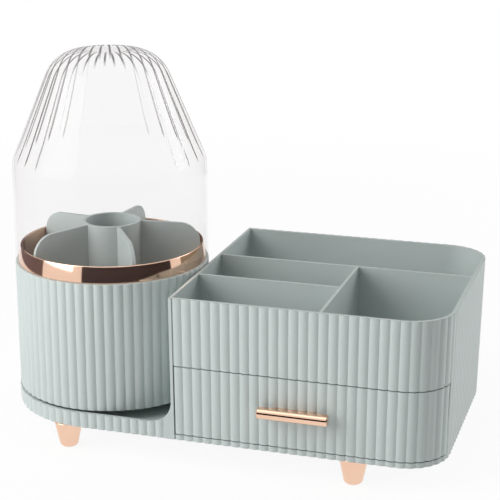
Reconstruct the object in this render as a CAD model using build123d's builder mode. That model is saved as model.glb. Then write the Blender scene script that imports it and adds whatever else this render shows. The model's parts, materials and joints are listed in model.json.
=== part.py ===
from build123d import *
import os
from math import cos, radians, sin, tan

os.makedirs("parts", exist_ok=True)

# A vanity organizer: a brush drum that turns under a lift-off dome, beside a tray over a drawer.
# Lengths along X and Y are counted from the drum's axis.

# ---------------------------------------------------------------- driving sizes, mm
# Base and cabinet
FOOT_HEIGHT = 19.2
BASE_FRONT = 69.0  # also the radius of the base's round end
END_CENTRE_X = 1.8  # middle of the round end
BASE_BACK = 101.5
CABINET_LEFT = 67.7
CABINET_RIGHT = 247.9
CORNER_RADIUS = 30.0
CABINET_HEIGHT = 99.2
LIP_HEIGHT = 10.7
LIP_FILLET = 16.0  # sweep from the lip's top edge up into the cabinet wall
FLOOR_THICKNESS = 3.5
CABINET_WALL = 2.0  # behind the reeds
LIP_WALL = 1.5  # behind the reeds
FRONT_DRAFT = 0.030  # outward lean of the front and back walls, mm per mm
SIDE_DRAFT = 0.015

# Tray
DRAWER_BAY_HEIGHT = 49.1
TRAY_FLOOR = 2.4
DIVIDER = 2.0
REAR_DIVIDER_Y = 32.2
FRONT_DIVIDER_Y = -16.2
DEPTH_DIVIDER_X = 168.1

# Reeds
REED_DEPTH = 0.9
STRIP_WIDTH = 2.1  # smooth strip at the cabinet's left edge
LIP_REED_END = 62.1
FRONT_REEDS = 23
LIP_REEDS = 10
CORNER_REEDS = 7
SIDE_REEDS = 17
END_REEDS = 33
DRUM_REEDS = 64

# Drawer
DRAWER_GAP = 0.7
DRAWER_LIFT = 0.3  # box floor above the bay floor
DRAWER_SIDE_GAP = 0.8
DRAWER_BACK_GAP = 2.0
DRAWER_FRONT_THICKNESS = 2.6  # behind the reeds
DRAWER_WALL = 2.0
DRAWER_BOX_HEIGHT = 41.0
DRAWER_BOX_CORNER = 3.0
DRAWER_FRONT_END_Y = -46.0  # where the panel ends on the right side
SEAT_GAP = 0.1  # between parts that are fixed together

# Handle
HANDLE_LENGTH = 46.5
HANDLE_HEIGHT = 7.2
HANDLE_DEPTH = 6.0
HANDLE_X = 152.4
HANDLE_RISE = 29.5  # bar's middle above the base's underside
HANDLE_BLOCK_LENGTH = 28.5
HANDLE_BLOCK_HEIGHT = 4.4
HANDLE_BLOCK_DEPTH = 4.2
HANDLE_BEVEL = 0.4
HANDLE_SCREW_SPACING = 16.0
HANDLE_SCREW_RADIUS = 1.3
HANDLE_SCREW_HEAD = 2.8
HANDLE_SCREW_HEAD_HEIGHT = 1.8
HANDLE_SCREW_BITE = 3.0  # length of thread inside the bar

# Drum
DRUM_RADIUS = 67.3
DRUM_LIFT = 0.8  # above the lip
DRUM_HEIGHT = 89.5
DRUM_BORE = 63.5
DRUM_FLOOR = 3.0

# Ring in the drum's mouth
RING_HEIGHT = 11.3
RING_PLUG = 9.0
RING_PLUG_RADIUS = 63.4
RING_FOOT_RADIUS = 65.4
RING_TOP_RADIUS = 63.3
RING_BORE = 62.0
RING_EDGE = 0.4

# Divider insert
TUBE_RADIUS = 20.2
TUBE_WALL = 2.2
TUBE_HEIGHT = 112.8
VANE_COUNT = 5
VANE_ANGLE = 18.0  # direction of the first vane, degrees from +X
VANE_THICKNESS = 2.4
VANE_REACH = 61.3
VANE_SHOULDER = 14.8
VANE_HEIGHT = 112.5  # at the tube
VANE_TOP_DROP = 1.8  # fall of the top edge from the tube to the shoulder

# Dome
DOME_RADIUS = 67.2
DOME_KINK_RADIUS = 66.5
DOME_KINK_HEIGHT = 69.7
DOME_KINK_ROUND = 8.0
DOME_HEIGHT = 144.7
DOME_CONE_ANGLE = 22.8
DOME_CROWN_RADIUS = 27.0
DOME_WALL = 1.4
DOME_SEAT_GAP = 0.3
NUB_RADIUS = 1.4
NUB_HEIGHT = 0.5

# Turntable
RACE_THICKNESS = 2.8
RACE_RADIUS = 46.0
RACE_BORE = 10.0
BALL_RADIUS = 2.5
BALL_CIRCLE = 38.0
BALL_COUNT = 16
BALL_CLEARANCE = 0.3
CAGE_THICKNESS = 1.6
CAGE_WIDTH = 10.0
PIVOT_RADIUS = 3.0
PIVOT_CLEARANCE = 0.05
PIVOT_HEAD_RADIUS = 5.5
PIVOT_HEAD_HEIGHT = 3.0
PIVOT_RECESS = 2.6
PIVOT_TIP = 0.8  # thread past the nut
WASHER_RADIUS = 8.0
WASHER_THICKNESS = 1.0
WASHER_GAP = 0.3
NUT_ACROSS_FLATS = 10.0
NUT_THICKNESS = 3.0

# Small screws
SCREW_RADIUS = 1.3
SCREW_CLEARANCE = 0.05
SCREW_HEAD_RADIUS = 2.6
SCREW_HEAD_HEIGHT = 1.2
SCREW_RECESS = 1.3
SCREW_TIP_ROOM = 0.3
HEAD_CLEARANCE = 0.2
RACE_SCREW_CIRCLE = 24.0
RACE_SCREW_BITE = 2.4
DRUM_SCREW_CIRCLE = 30.0
DRUM_SCREW_BITE = 2.2
SCREW_ANGLE = 54.0
SCREW_COUNT = 3

# Feet
FOOT_TOP_RADIUS = 9.8
FOOT_TIP_RADIUS = 6.0
FOOT_TIP_ROUND = 3.2
FOOT_LEFT_X = -11.1
FOOT_RIGHT_X = 188.9
FOOT_INSET = 10.2  # foot axis to the outside of the base
FOOT_SCREW_BITE = 9.0
PAD_RADIUS = 2.8
PAD_THICKNESS = 1.4
PAD_PROUD = 0.5

# ---------------------------------------------------------------- worked-out places
FAR = 400.0  # cutting tools reach past the object
ABOVE = 1.0
BASE_BOTTOM = FOOT_HEIGHT
FLOOR_TOP = BASE_BOTTOM + FLOOR_THICKNESS
LIP_TOP = BASE_BOTTOM + LIP_HEIGHT
RIM = BASE_BOTTOM + CABINET_HEIGHT
BAY_CEILING = FLOOR_TOP + DRAWER_BAY_HEIGHT
TRAY_BOTTOM = BAY_CEILING + TRAY_FLOOR
WALL_INSET = REED_DEPTH + CABINET_WALL
BAY_LEFT = CABINET_LEFT + CABINET_WALL
BAY_RIGHT = CABINET_RIGHT - WALL_INSET
BAY_BACK = BASE_BACK - WALL_INSET

PANEL_INSET = REED_DEPTH + DRAWER_FRONT_THICKNESS
PANEL_BOTTOM = FLOOR_TOP + DRAWER_GAP
PANEL_HEIGHT = DRAWER_BAY_HEIGHT - 2 * DRAWER_GAP
BOX_INSET = PANEL_INSET + SEAT_GAP
BOX_BOTTOM = FLOOR_TOP + DRAWER_LIFT
BOX_FRONT = BASE_FRONT - BOX_INSET
BOX_BACK = BAY_BACK - DRAWER_BACK_GAP
BOX_LEFT = BAY_LEFT + DRAWER_SIDE_GAP
BOX_RIGHT = BAY_RIGHT - DRAWER_SIDE_GAP

HANDLE_Z = BASE_BOTTOM + HANDLE_RISE
HANDLE_SEAT = BASE_FRONT + FRONT_DRAFT * (HANDLE_RISE + HANDLE_BLOCK_HEIGHT / 2)
HANDLE_BACK = HANDLE_SEAT + HANDLE_BLOCK_DEPTH
HANDLE_FRONT = HANDLE_BACK + HANDLE_DEPTH
HANDLE_SCREW_X = [HANDLE_X - HANDLE_SCREW_SPACING / 2, HANDLE_X + HANDLE_SCREW_SPACING / 2]

DRUM_BOTTOM = LIP_TOP + DRUM_LIFT
DRUM_TOP = DRUM_BOTTOM + DRUM_HEIGHT
CUP_FLOOR = DRUM_BOTTOM + DRUM_FLOOR
BALL_Z = (FLOOR_TOP + DRUM_BOTTOM) / 2
LOWER_RACE_TOP = FLOOR_TOP + RACE_THICKNESS
UPPER_RACE_BOTTOM = DRUM_BOTTOM - RACE_THICKNESS
WASHER_TOP = BASE_BOTTOM - WASHER_GAP
NUT_TOP = WASHER_TOP - WASHER_THICKNESS
NUT_BOTTOM = NUT_TOP - NUT_THICKNESS
SCREW_HOLE = SCREW_RADIUS + SCREW_CLEARANCE
HEAD_HOLE = SCREW_HEAD_RADIUS + HEAD_CLEARANCE

FRONT_FOOT_Y = FOOT_INSET - BASE_FRONT
FEET = {
    "foot_front_left": (FOOT_LEFT_X, FRONT_FOOT_Y),
    "foot_front_right": (FOOT_RIGHT_X, FRONT_FOOT_Y),
    "foot_rear_left": (FOOT_LEFT_X, -FRONT_FOOT_Y),
    "foot_rear_right": (FOOT_RIGHT_X, BASE_BACK - FOOT_INSET),
}

# The origin is under the middle of the whole object, so the drum's axis stands off it.
LEFT_REACH = BASE_FRONT + FRONT_DRAFT * LIP_HEIGHT - END_CENTRE_X
RIGHT_REACH = CABINET_RIGHT + SIDE_DRAFT * CABINET_HEIGHT
BACK_REACH = BASE_BACK + FRONT_DRAFT * CABINET_HEIGHT
DRUM_X = (LEFT_REACH - RIGHT_REACH) / 2
DRUM_Y = (HANDLE_FRONT - BACK_REACH) / 2
DRUM_AXIS = Axis((DRUM_X, DRUM_Y, 0), (0, 0, 1))


def level(height):
    """A horizontal plane at a height, with its origin on the drum's axis."""
    return Plane((DRUM_X, DRUM_Y, height))


def radial(angle):
    """An upright plane through the drum's axis: its x points outward and its y points up."""
    turn = radians(angle)
    return Plane((DRUM_X, DRUM_Y, 0), x_dir=(cos(turn), sin(turn), 0), z_dir=(sin(turn), -cos(turn), 0))


def ring_of(count, radius, start):
    """Points evenly spaced on a circle about the drum's axis."""
    turns = [radians(start + 360 * i / count) for i in range(count)]
    return [(radius * cos(turn), radius * sin(turn)) for turn in turns]


# ---------------------------------------------------------------- outlines
def straight(start, end, count):
    """Evenly spaced points from start to end, both included."""
    (ax, ay), (bx, by) = start, end
    return [(ax + (bx - ax) * i / count, ay + (by - ay) * i / count) for i in range(count + 1)]


def turned(centre, radius, first, last, count):
    """Evenly spaced points on an arc, both ends included, angles in degrees."""
    turns = [radians(first + (last - first) * i / count) for i in range(count + 1)]
    return [(centre[0] + radius * cos(turn), centre[1] + radius * sin(turn)) for turn in turns]


def reeds(points):
    """Convex arcs between valley points, bulging to the right of the way they run."""
    for (ax, ay), (bx, by) in zip(points, points[1:]):
        length = ((bx - ax) ** 2 + (by - ay) ** 2) ** 0.5
        middle_x = (ax + bx) / 2 + REED_DEPTH * (by - ay) / length
        middle_y = (ay + by) / 2 - REED_DEPTH * (bx - ax) / length
        ThreePointArc((ax, ay), (middle_x, middle_y), (bx, by))


def wall_lines(height):
    """Front, back and right faces of the cabinet at a height, with their draft."""
    rise = height - BASE_BOTTOM
    front = BASE_FRONT + FRONT_DRAFT * rise
    back = BASE_BACK + FRONT_DRAFT * rise
    right = CABINET_RIGHT + SIDE_DRAFT * rise
    return front, back, right


def reeded_cabinet_face(height):
    """Outline of the cabinet with its reeds, smooth on the left."""
    front, back, right = wall_lines(height)
    strip = CABINET_LEFT + STRIP_WIDTH
    bend = right - CORNER_RADIUS
    near = CORNER_RADIUS - front
    far = back - CORNER_RADIUS
    valley = CORNER_RADIUS - REED_DEPTH
    with BuildLine() as outline:
        Polyline((strip, back - REED_DEPTH), (strip, back), (CABINET_LEFT, back))
        Line((CABINET_LEFT, back), (CABINET_LEFT, -front))
        Polyline((CABINET_LEFT, -front), (strip, -front), (strip, REED_DEPTH - front))
        reeds(straight((strip, REED_DEPTH - front), (bend, REED_DEPTH - front), FRONT_REEDS))
        reeds(turned((bend, near), valley, -90, 0, CORNER_REEDS))
        reeds(straight((right - REED_DEPTH, near), (right - REED_DEPTH, far), SIDE_REEDS))
        reeds(turned((bend, far), valley, 0, 90, CORNER_REEDS))
        reeds(straight((bend, back - REED_DEPTH), (strip, back - REED_DEPTH), FRONT_REEDS))
    make_face(outline.edges())


def reeded_pan_face(height):
    """Outline of the drum's pan: a round left end and straight sides into the cabinet."""
    side = wall_lines(height)[0]
    valley = side - REED_DEPTH
    inside = CABINET_LEFT + CABINET_WALL / 2
    with BuildLine() as outline:
        reeds(turned((END_CENTRE_X, 0), valley, 90, 270, END_REEDS))
        reeds(straight((END_CENTRE_X, -valley), (LIP_REED_END, -valley), LIP_REEDS))
        Polyline((LIP_REED_END, -valley), (LIP_REED_END, -side), (inside, -side), (inside, side))
        Polyline((inside, side), (LIP_REED_END, side), (LIP_REED_END, valley))
        reeds(straight((LIP_REED_END, valley), (END_CENTRE_X, valley), LIP_REEDS))
    make_face(outline.edges())


def smooth_cabinet_face(height, inset, left):
    """Outline that keeps a distance from the crests of the cabinet's reeds."""
    front, back, right = wall_lines(height)
    radius = CORNER_RADIUS - inset
    bend = right - CORNER_RADIUS
    with BuildLine() as outline:
        Polyline((bend, back - inset), (left, back - inset), (left, inset - front), (bend, inset - front))
        ThreePointArc(*turned((bend, CORNER_RADIUS - front), radius, -90, 0, 2))
        Line((right - inset, CORNER_RADIUS - front), (right - inset, back - CORNER_RADIUS))
        ThreePointArc(*turned((bend, back - CORNER_RADIUS), radius, 0, 90, 2))
    make_face(outline.edges())


def make_screws(plane, points, shank, radius, head_radius, head_height, recess):
    """Screws with their heads on a plane, shanks behind it."""
    with BuildPart() as screws:
        with BuildSketch(plane):
            with Locations(*points):
                Circle(radius)
        extrude(amount=-shank)
        with BuildSketch(plane):
            with Locations(*points):
                Circle(head_radius)
        extrude(amount=head_height)
        with BuildSketch(plane.offset(head_height)):
            with Locations(*points):
                RegularPolygon(recess, 6)
        extrude(amount=-head_height / 2, mode=Mode.SUBTRACT)
    return screws


# ---------------------------------------------------------------- body shell
with BuildPart() as tray_space:
    for z in (TRAY_BOTTOM, RIM + ABOVE):
        with BuildSketch(level(z)):
            smooth_cabinet_face(z, WALL_INSET, BAY_LEFT)
    loft(ruled=True)
    with BuildSketch(level(TRAY_BOTTOM)):
        with Locations((DEPTH_DIVIDER_X, REAR_DIVIDER_Y)):
            Rectangle(FAR, DIVIDER)
        with Locations((DEPTH_DIVIDER_X, FRONT_DIVIDER_Y)):
            Rectangle(FAR, DIVIDER, align=(Align.MAX, Align.CENTER))
        with Locations((DEPTH_DIVIDER_X, REAR_DIVIDER_Y)):
            Rectangle(DIVIDER, FAR, align=(Align.CENTER, Align.MAX))
    extrude(amount=FAR, mode=Mode.SUBTRACT)

PAN_BORE = BASE_FRONT - REED_DEPTH - LIP_WALL
SWEEP_LEFT = CABINET_LEFT - LIP_FILLET
SWEEP_TOP = LIP_TOP + LIP_FILLET
with BuildPart() as pan:
    for z in (BASE_BOTTOM, SWEEP_TOP):
        with BuildSketch(level(z)):
            reeded_pan_face(z)
    loft(ruled=True)
    with BuildSketch(level(FLOOR_TOP)):
        with BuildLine():
            ThreePointArc(*turned((END_CENTRE_X, 0), PAN_BORE, 90, 270, 2))
            Polyline((END_CENTRE_X, -PAN_BORE), (CABINET_LEFT, -PAN_BORE), (CABINET_LEFT, PAN_BORE))
            Line((CABINET_LEFT, PAN_BORE), (END_CENTRE_X, PAN_BORE))
        make_face()
    extrude(amount=FAR, mode=Mode.SUBTRACT)
    with BuildSketch(radial(0)):
        with BuildLine():
            Polyline((CABINET_LEFT, SWEEP_TOP), (CABINET_LEFT, RIM), (-FAR, RIM), (-FAR, LIP_TOP))
            Line((-FAR, LIP_TOP), (SWEEP_LEFT, LIP_TOP))
            ThreePointArc(*turned((SWEEP_LEFT, SWEEP_TOP), LIP_FILLET, -90, 0, 2))
        make_face()
    extrude(amount=FAR, both=True, mode=Mode.SUBTRACT)

with BuildPart() as body_shell:
    for z in (BASE_BOTTOM, RIM):
        with BuildSketch(level(z)):
            reeded_cabinet_face(z)
    loft(ruled=True)
    add(tray_space.part, mode=Mode.SUBTRACT)
    with BuildSketch(level(FLOOR_TOP)):
        smooth_cabinet_face(BASE_BOTTOM, WALL_INSET, BAY_LEFT)
        with Locations((BAY_LEFT, 0)):
            Rectangle(BAY_RIGHT - BAY_LEFT, FAR, align=(Align.MIN, Align.MAX))
        with Locations((BAY_LEFT, DRAWER_FRONT_END_Y)):
            Rectangle(FAR, FAR, align=(Align.MIN, Align.MAX))
    extrude(amount=DRAWER_BAY_HEIGHT, mode=Mode.SUBTRACT)
    add(pan.part)
    with BuildSketch(level(BASE_BOTTOM)):
        Circle(PIVOT_RADIUS + PIVOT_CLEARANCE)
        with Locations(*FEET.values()):
            Circle(SCREW_HOLE)
    extrude(amount=FLOOR_THICKNESS, mode=Mode.SUBTRACT)
    with BuildSketch(level(FLOOR_TOP)):
        with Locations(*FEET.values()):
            Circle(HEAD_HOLE)
    extrude(amount=-SCREW_HEAD_HEIGHT, mode=Mode.SUBTRACT)
    with BuildSketch(level(FLOOR_TOP)):
        with Locations(*ring_of(SCREW_COUNT, RACE_SCREW_CIRCLE, SCREW_ANGLE)):
            Circle(SCREW_HOLE)
    extrude(amount=-(RACE_SCREW_BITE + SCREW_TIP_ROOM), mode=Mode.SUBTRACT)
body_shell.part.label = "body_shell"
export_step(body_shell.part, "parts/body_shell.step")

# ---------------------------------------------------------------- drawer
SCREW_SEAT = Plane((DRUM_X, DRUM_Y - BOX_FRONT + DRAWER_WALL, 0), x_dir=(1, 0, 0), z_dir=(0, 1, 0))
SCREW_POINTS = [(x, -HANDLE_Z) for x in HANDLE_SCREW_X]
SCREW_REACH = HANDLE_BACK + HANDLE_SCREW_BITE - BOX_FRONT + DRAWER_WALL

with BuildPart() as screw_holes:
    with BuildSketch(SCREW_SEAT):
        with Locations(*SCREW_POINTS):
            Circle(HANDLE_SCREW_RADIUS + SCREW_CLEARANCE)
    extrude(amount=-(SCREW_REACH + SCREW_TIP_ROOM))

with BuildPart() as drawer_front:
    for z in (PANEL_BOTTOM, PANEL_BOTTOM + PANEL_HEIGHT):
        with BuildSketch(level(z)):
            reeded_cabinet_face(z)
    loft(ruled=True)
    with BuildSketch(level(PANEL_BOTTOM)):
        with Locations((BAY_LEFT + DRAWER_GAP, DRAWER_FRONT_END_Y - DRAWER_GAP)):
            Rectangle(FAR, FAR, align=(Align.MIN, Align.MAX))
    extrude(amount=PANEL_HEIGHT, mode=Mode.INTERSECT)
    with BuildSketch(level(PANEL_BOTTOM)):
        smooth_cabinet_face(BASE_BOTTOM, PANEL_INSET, 0)
    extrude(amount=PANEL_HEIGHT, mode=Mode.SUBTRACT)
    add(screw_holes.part, mode=Mode.SUBTRACT)
drawer_front.part.label = "drawer_front"
export_step(drawer_front.part, "parts/drawer_front.step")

with BuildPart() as drawer_box:
    with BuildSketch(level(BOX_BOTTOM)):
        with Locations((BOX_LEFT, -BOX_FRONT)):
            Rectangle(BOX_RIGHT - BOX_LEFT, BOX_FRONT + BOX_BACK, align=(Align.MIN, Align.MIN))
    extrude(amount=DRAWER_BOX_HEIGHT)
    fillet(drawer_box.edges().filter_by(Axis.Z).group_by(Axis.X)[0], DRAWER_BOX_CORNER)
    front_corner = drawer_box.edges().filter_by(Axis.Z).group_by(Axis.X)[-1].sort_by(Axis.Y)[0]
    fillet(front_corner, CORNER_RADIUS - BOX_INSET)
    rear_corner = drawer_box.edges().filter_by(Axis.Z).group_by(Axis.X)[-1].sort_by(Axis.Y)[-1]
    fillet(rear_corner, CORNER_RADIUS - WALL_INSET - DRAWER_SIDE_GAP)
    offset(amount=-DRAWER_WALL, openings=drawer_box.faces().sort_by(Axis.Z)[-1])
    add(screw_holes.part, mode=Mode.SUBTRACT)
drawer_box.part.label = "drawer_box"
export_step(drawer_box.part, "parts/drawer_box.step")

with BuildPart() as handle_block:
    with BuildSketch(radial(0).offset(HANDLE_SEAT)):
        with Locations((HANDLE_X, HANDLE_Z)):
            Rectangle(HANDLE_BLOCK_LENGTH, HANDLE_BLOCK_HEIGHT)
    extrude(amount=HANDLE_BLOCK_DEPTH)
    add(screw_holes.part, mode=Mode.SUBTRACT)
handle_block.part.label = "handle_block"
export_step(handle_block.part, "parts/handle_block.step")

# The bar's section is flat at the back and round at the front.
SECTION = Plane((DRUM_X + HANDLE_X, DRUM_Y - HANDLE_BACK, HANDLE_Z), x_dir=(0, -1, 0), z_dir=(1, 0, 0))
HALF_HEIGHT = HANDLE_HEIGHT / 2
with BuildPart() as handle_bar:
    with BuildSketch(SECTION):
        with BuildLine():
            Polyline(
                (HANDLE_DEPTH - HALF_HEIGHT, HALF_HEIGHT),
                (0, HALF_HEIGHT),
                (0, -HALF_HEIGHT),
                (HANDLE_DEPTH - HALF_HEIGHT, -HALF_HEIGHT),
            )
            ThreePointArc(*turned((HANDLE_DEPTH - HALF_HEIGHT, 0), HALF_HEIGHT, -90, 90, 2))
        make_face()
    extrude(amount=HANDLE_LENGTH / 2, both=True)
    chamfer(handle_bar.faces().filter_by(Axis.X).edges(), HANDLE_BEVEL)
    add(screw_holes.part, mode=Mode.SUBTRACT)
handle_bar.part.label = "handle_bar"
export_step(handle_bar.part, "parts/handle_bar.step")

handle_screws = make_screws(
    SCREW_SEAT,
    SCREW_POINTS,
    SCREW_REACH,
    HANDLE_SCREW_RADIUS,
    HANDLE_SCREW_HEAD,
    HANDLE_SCREW_HEAD_HEIGHT,
    SCREW_RECESS,
)
handle_screws.part.label = "handle_screws"
export_step(handle_screws.part, "parts/handle_screws.step")

# ---------------------------------------------------------------- brush drum
DRUM_SCREW_POINTS = ring_of(SCREW_COUNT, DRUM_SCREW_CIRCLE, SCREW_ANGLE)
with BuildPart() as brush_drum:
    with BuildSketch(level(DRUM_BOTTOM)):
        with BuildLine():
            reeds(turned((0, 0), DRUM_RADIUS - REED_DEPTH, 0, 360, DRUM_REEDS))
        make_face()
    extrude(amount=DRUM_HEIGHT)
    with BuildSketch(level(CUP_FLOOR)):
        Circle(DRUM_BORE)
    extrude(amount=FAR, mode=Mode.SUBTRACT)
    with BuildSketch(level(DRUM_BOTTOM)):
        Circle(PIVOT_RADIUS + PIVOT_CLEARANCE)
        with Locations(*DRUM_SCREW_POINTS):
            Circle(SCREW_HOLE)
    extrude(amount=DRUM_FLOOR, mode=Mode.SUBTRACT)
brush_drum.part.label = "brush_drum"
export_step(brush_drum.part, "parts/brush_drum.step")

with BuildPart() as mirror_ring:
    with BuildSketch(radial(0)):
        with BuildLine():
            Polyline(
                (RING_BORE, DRUM_TOP - RING_PLUG),
                (RING_PLUG_RADIUS, DRUM_TOP - RING_PLUG),
                (RING_PLUG_RADIUS, DRUM_TOP),
                (RING_FOOT_RADIUS, DRUM_TOP),
                (RING_TOP_RADIUS, DRUM_TOP + RING_HEIGHT),
                (RING_BORE, DRUM_TOP + RING_HEIGHT),
                close=True,
            )
        make_face()
    revolve(axis=DRUM_AXIS)
    fillet(mirror_ring.faces().sort_by(Axis.Z)[-1].edges(), RING_EDGE)
mirror_ring.part.label = "mirror_ring"
export_step(mirror_ring.part, "parts/mirror_ring.step")

SHOULDER_START = VANE_REACH - VANE_SHOULDER
VANE_TOP = CUP_FLOOR + VANE_HEIGHT
SHOULDER_BASE = VANE_TOP - VANE_TOP_DROP - VANE_SHOULDER
VANE_ROOT = TUBE_RADIUS - TUBE_WALL / 2
with BuildPart() as divider_insert:
    for i in range(VANE_COUNT):
        with BuildSketch(radial(VANE_ANGLE + 360 * i / VANE_COUNT)):
            with BuildLine():
                ThreePointArc(*turned((SHOULDER_START, SHOULDER_BASE), VANE_SHOULDER, 0, 90, 2))
                Polyline(
                    (SHOULDER_START, VANE_TOP - VANE_TOP_DROP),
                    (VANE_ROOT, VANE_TOP),
                    (VANE_ROOT, CUP_FLOOR),
                    (VANE_REACH, CUP_FLOOR),
                    (VANE_REACH, SHOULDER_BASE),
                )
            make_face()
        extrude(amount=VANE_THICKNESS / 2, both=True)
    with BuildSketch(level(CUP_FLOOR)):
        Circle(TUBE_RADIUS)
    extrude(amount=TUBE_HEIGHT)
    with BuildSketch(level(CUP_FLOOR)):
        Circle(TUBE_RADIUS - TUBE_WALL)
    extrude(amount=FAR, mode=Mode.SUBTRACT)
divider_insert.part.label = "divider_insert"
export_step(divider_insert.part, "parts/divider_insert.step")

# ---------------------------------------------------------------- dome
CONE = radians(DOME_CONE_ANGLE)
DOME_BOTTOM = DRUM_TOP + DOME_SEAT_GAP
DOME_TOP = DOME_BOTTOM + DOME_HEIGHT
KINK_Z = DOME_BOTTOM + DOME_KINK_HEIGHT
CROWN_CENTRE_Z = DOME_TOP - DOME_CROWN_RADIUS
CROWN_START_Z = CROWN_CENTRE_Z + DOME_CROWN_RADIUS * sin(CONE)
CROWN_START_X = DOME_KINK_RADIUS - (CROWN_START_Z - KINK_Z) * tan(CONE)
CROWN_CENTRE_X = CROWN_START_X - DOME_CROWN_RADIUS * cos(CONE)
with BuildPart() as dome_cover:
    with BuildSketch(radial(0)):
        with BuildLine():
            Polyline((0, DOME_TOP), (0, DOME_BOTTOM), (DOME_RADIUS, DOME_BOTTOM))
            Line((DOME_RADIUS, DOME_BOTTOM), (DOME_KINK_RADIUS, KINK_Z))
            Line((DOME_KINK_RADIUS, KINK_Z), (CROWN_START_X, CROWN_START_Z))
            ThreePointArc(
                *turned((CROWN_CENTRE_X, CROWN_CENTRE_Z), DOME_CROWN_RADIUS, DOME_CONE_ANGLE, 90, 2)
            )
            Line((CROWN_CENTRE_X, DOME_TOP), (0, DOME_TOP))
        make_face()
    revolve(axis=DRUM_AXIS)
    fillet(dome_cover.edges().filter_by(GeomType.CIRCLE).group_by(Axis.Z)[1], DOME_KINK_ROUND)
    offset(amount=-DOME_WALL, openings=dome_cover.faces().sort_by(Axis.Z)[0])
    with BuildSketch(level(DOME_TOP - DOME_WALL / 2)):
        Circle(NUB_RADIUS)
    extrude(amount=DOME_WALL / 2 + NUB_HEIGHT)
dome_cover.part.label = "dome_cover"
export_step(dome_cover.part, "parts/dome_cover.step")

# ---------------------------------------------------------------- turntable
RACE_SCREW_POINTS = ring_of(SCREW_COUNT, RACE_SCREW_CIRCLE, SCREW_ANGLE)
with BuildPart() as ball_track:
    with BuildSketch(radial(0)):
        with Locations((BALL_CIRCLE, BALL_Z)):
            Circle(BALL_RADIUS + BALL_CLEARANCE)
    revolve(axis=DRUM_AXIS)

with BuildPart() as turntable_lower_race:
    with BuildSketch(level(FLOOR_TOP)):
        Circle(RACE_RADIUS)
        Circle(RACE_BORE, mode=Mode.SUBTRACT)
        with Locations(*RACE_SCREW_POINTS):
            Circle(SCREW_HOLE, mode=Mode.SUBTRACT)
    extrude(amount=RACE_THICKNESS)
    with BuildSketch(level(LOWER_RACE_TOP)):
        with Locations(*RACE_SCREW_POINTS):
            Circle(HEAD_HOLE)
    extrude(amount=-SCREW_HEAD_HEIGHT, mode=Mode.SUBTRACT)
    add(ball_track.part, mode=Mode.SUBTRACT)
turntable_lower_race.part.label = "turntable_lower_race"
export_step(turntable_lower_race.part, "parts/turntable_lower_race.step")

with BuildPart() as turntable_upper_race:
    with BuildSketch(level(UPPER_RACE_BOTTOM)):
        Circle(RACE_RADIUS)
        Circle(RACE_BORE, mode=Mode.SUBTRACT)
    extrude(amount=RACE_THICKNESS)
    with BuildSketch(level(DRUM_BOTTOM)):
        with Locations(*DRUM_SCREW_POINTS):
            Circle(SCREW_HOLE)
    extrude(amount=-(DRUM_SCREW_BITE + SCREW_TIP_ROOM), mode=Mode.SUBTRACT)
    add(ball_track.part, mode=Mode.SUBTRACT)
turntable_upper_race.part.label = "turntable_upper_race"
export_step(turntable_upper_race.part, "parts/turntable_upper_race.step")

with BuildPart() as ball_cage:
    with BuildSketch(level(BALL_Z - CAGE_THICKNESS / 2)):
        Circle(BALL_CIRCLE + CAGE_WIDTH / 2)
        Circle(BALL_CIRCLE - CAGE_WIDTH / 2, mode=Mode.SUBTRACT)
        with PolarLocations(BALL_CIRCLE, BALL_COUNT):
            Circle(BALL_RADIUS + BALL_CLEARANCE, mode=Mode.SUBTRACT)
    extrude(amount=CAGE_THICKNESS)
ball_cage.part.label = "ball_cage"
export_step(ball_cage.part, "parts/ball_cage.step")

with BuildPart(level(BALL_Z)) as bearing_balls:
    with PolarLocations(BALL_CIRCLE, BALL_COUNT):
        Sphere(BALL_RADIUS)
bearing_balls.part.label = "bearing_balls"
export_step(bearing_balls.part, "parts/bearing_balls.step")

race_screws = make_screws(
    level(LOWER_RACE_TOP - SCREW_HEAD_HEIGHT),
    RACE_SCREW_POINTS,
    RACE_THICKNESS - SCREW_HEAD_HEIGHT + RACE_SCREW_BITE,
    SCREW_RADIUS,
    SCREW_HEAD_RADIUS,
    SCREW_HEAD_HEIGHT,
    SCREW_RECESS,
)
race_screws.part.label = "race_screws"
export_step(race_screws.part, "parts/race_screws.step")

drum_screws = make_screws(
    level(CUP_FLOOR),
    DRUM_SCREW_POINTS,
    DRUM_FLOOR + DRUM_SCREW_BITE,
    SCREW_RADIUS,
    SCREW_HEAD_RADIUS,
    SCREW_HEAD_HEIGHT,
    SCREW_RECESS,
)
drum_screws.part.label = "drum_screws"
export_step(drum_screws.part, "parts/drum_screws.step")

pivot_screw = make_screws(
    level(CUP_FLOOR),
    [(0, 0)],
    CUP_FLOOR - NUT_BOTTOM + PIVOT_TIP,
    PIVOT_RADIUS,
    PIVOT_HEAD_RADIUS,
    PIVOT_HEAD_HEIGHT,
    PIVOT_RECESS,
)
pivot_screw.part.label = "pivot_screw"
export_step(pivot_screw.part, "parts/pivot_screw.step")

with BuildPart() as pivot_washer:
    with BuildSketch(level(NUT_TOP)):
        Circle(WASHER_RADIUS)
        Circle(PIVOT_RADIUS + PIVOT_CLEARANCE, mode=Mode.SUBTRACT)
    extrude(amount=WASHER_THICKNESS)
pivot_washer.part.label = "pivot_washer"
export_step(pivot_washer.part, "parts/pivot_washer.step")

with BuildPart() as pivot_nut:
    with BuildSketch(level(NUT_BOTTOM)):
        RegularPolygon(NUT_ACROSS_FLATS / 2, 6, major_radius=False)
        Circle(PIVOT_RADIUS + PIVOT_CLEARANCE, mode=Mode.SUBTRACT)
    extrude(amount=NUT_THICKNESS)
pivot_nut.part.label = "pivot_nut"
export_step(pivot_nut.part, "parts/pivot_nut.step")

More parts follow.
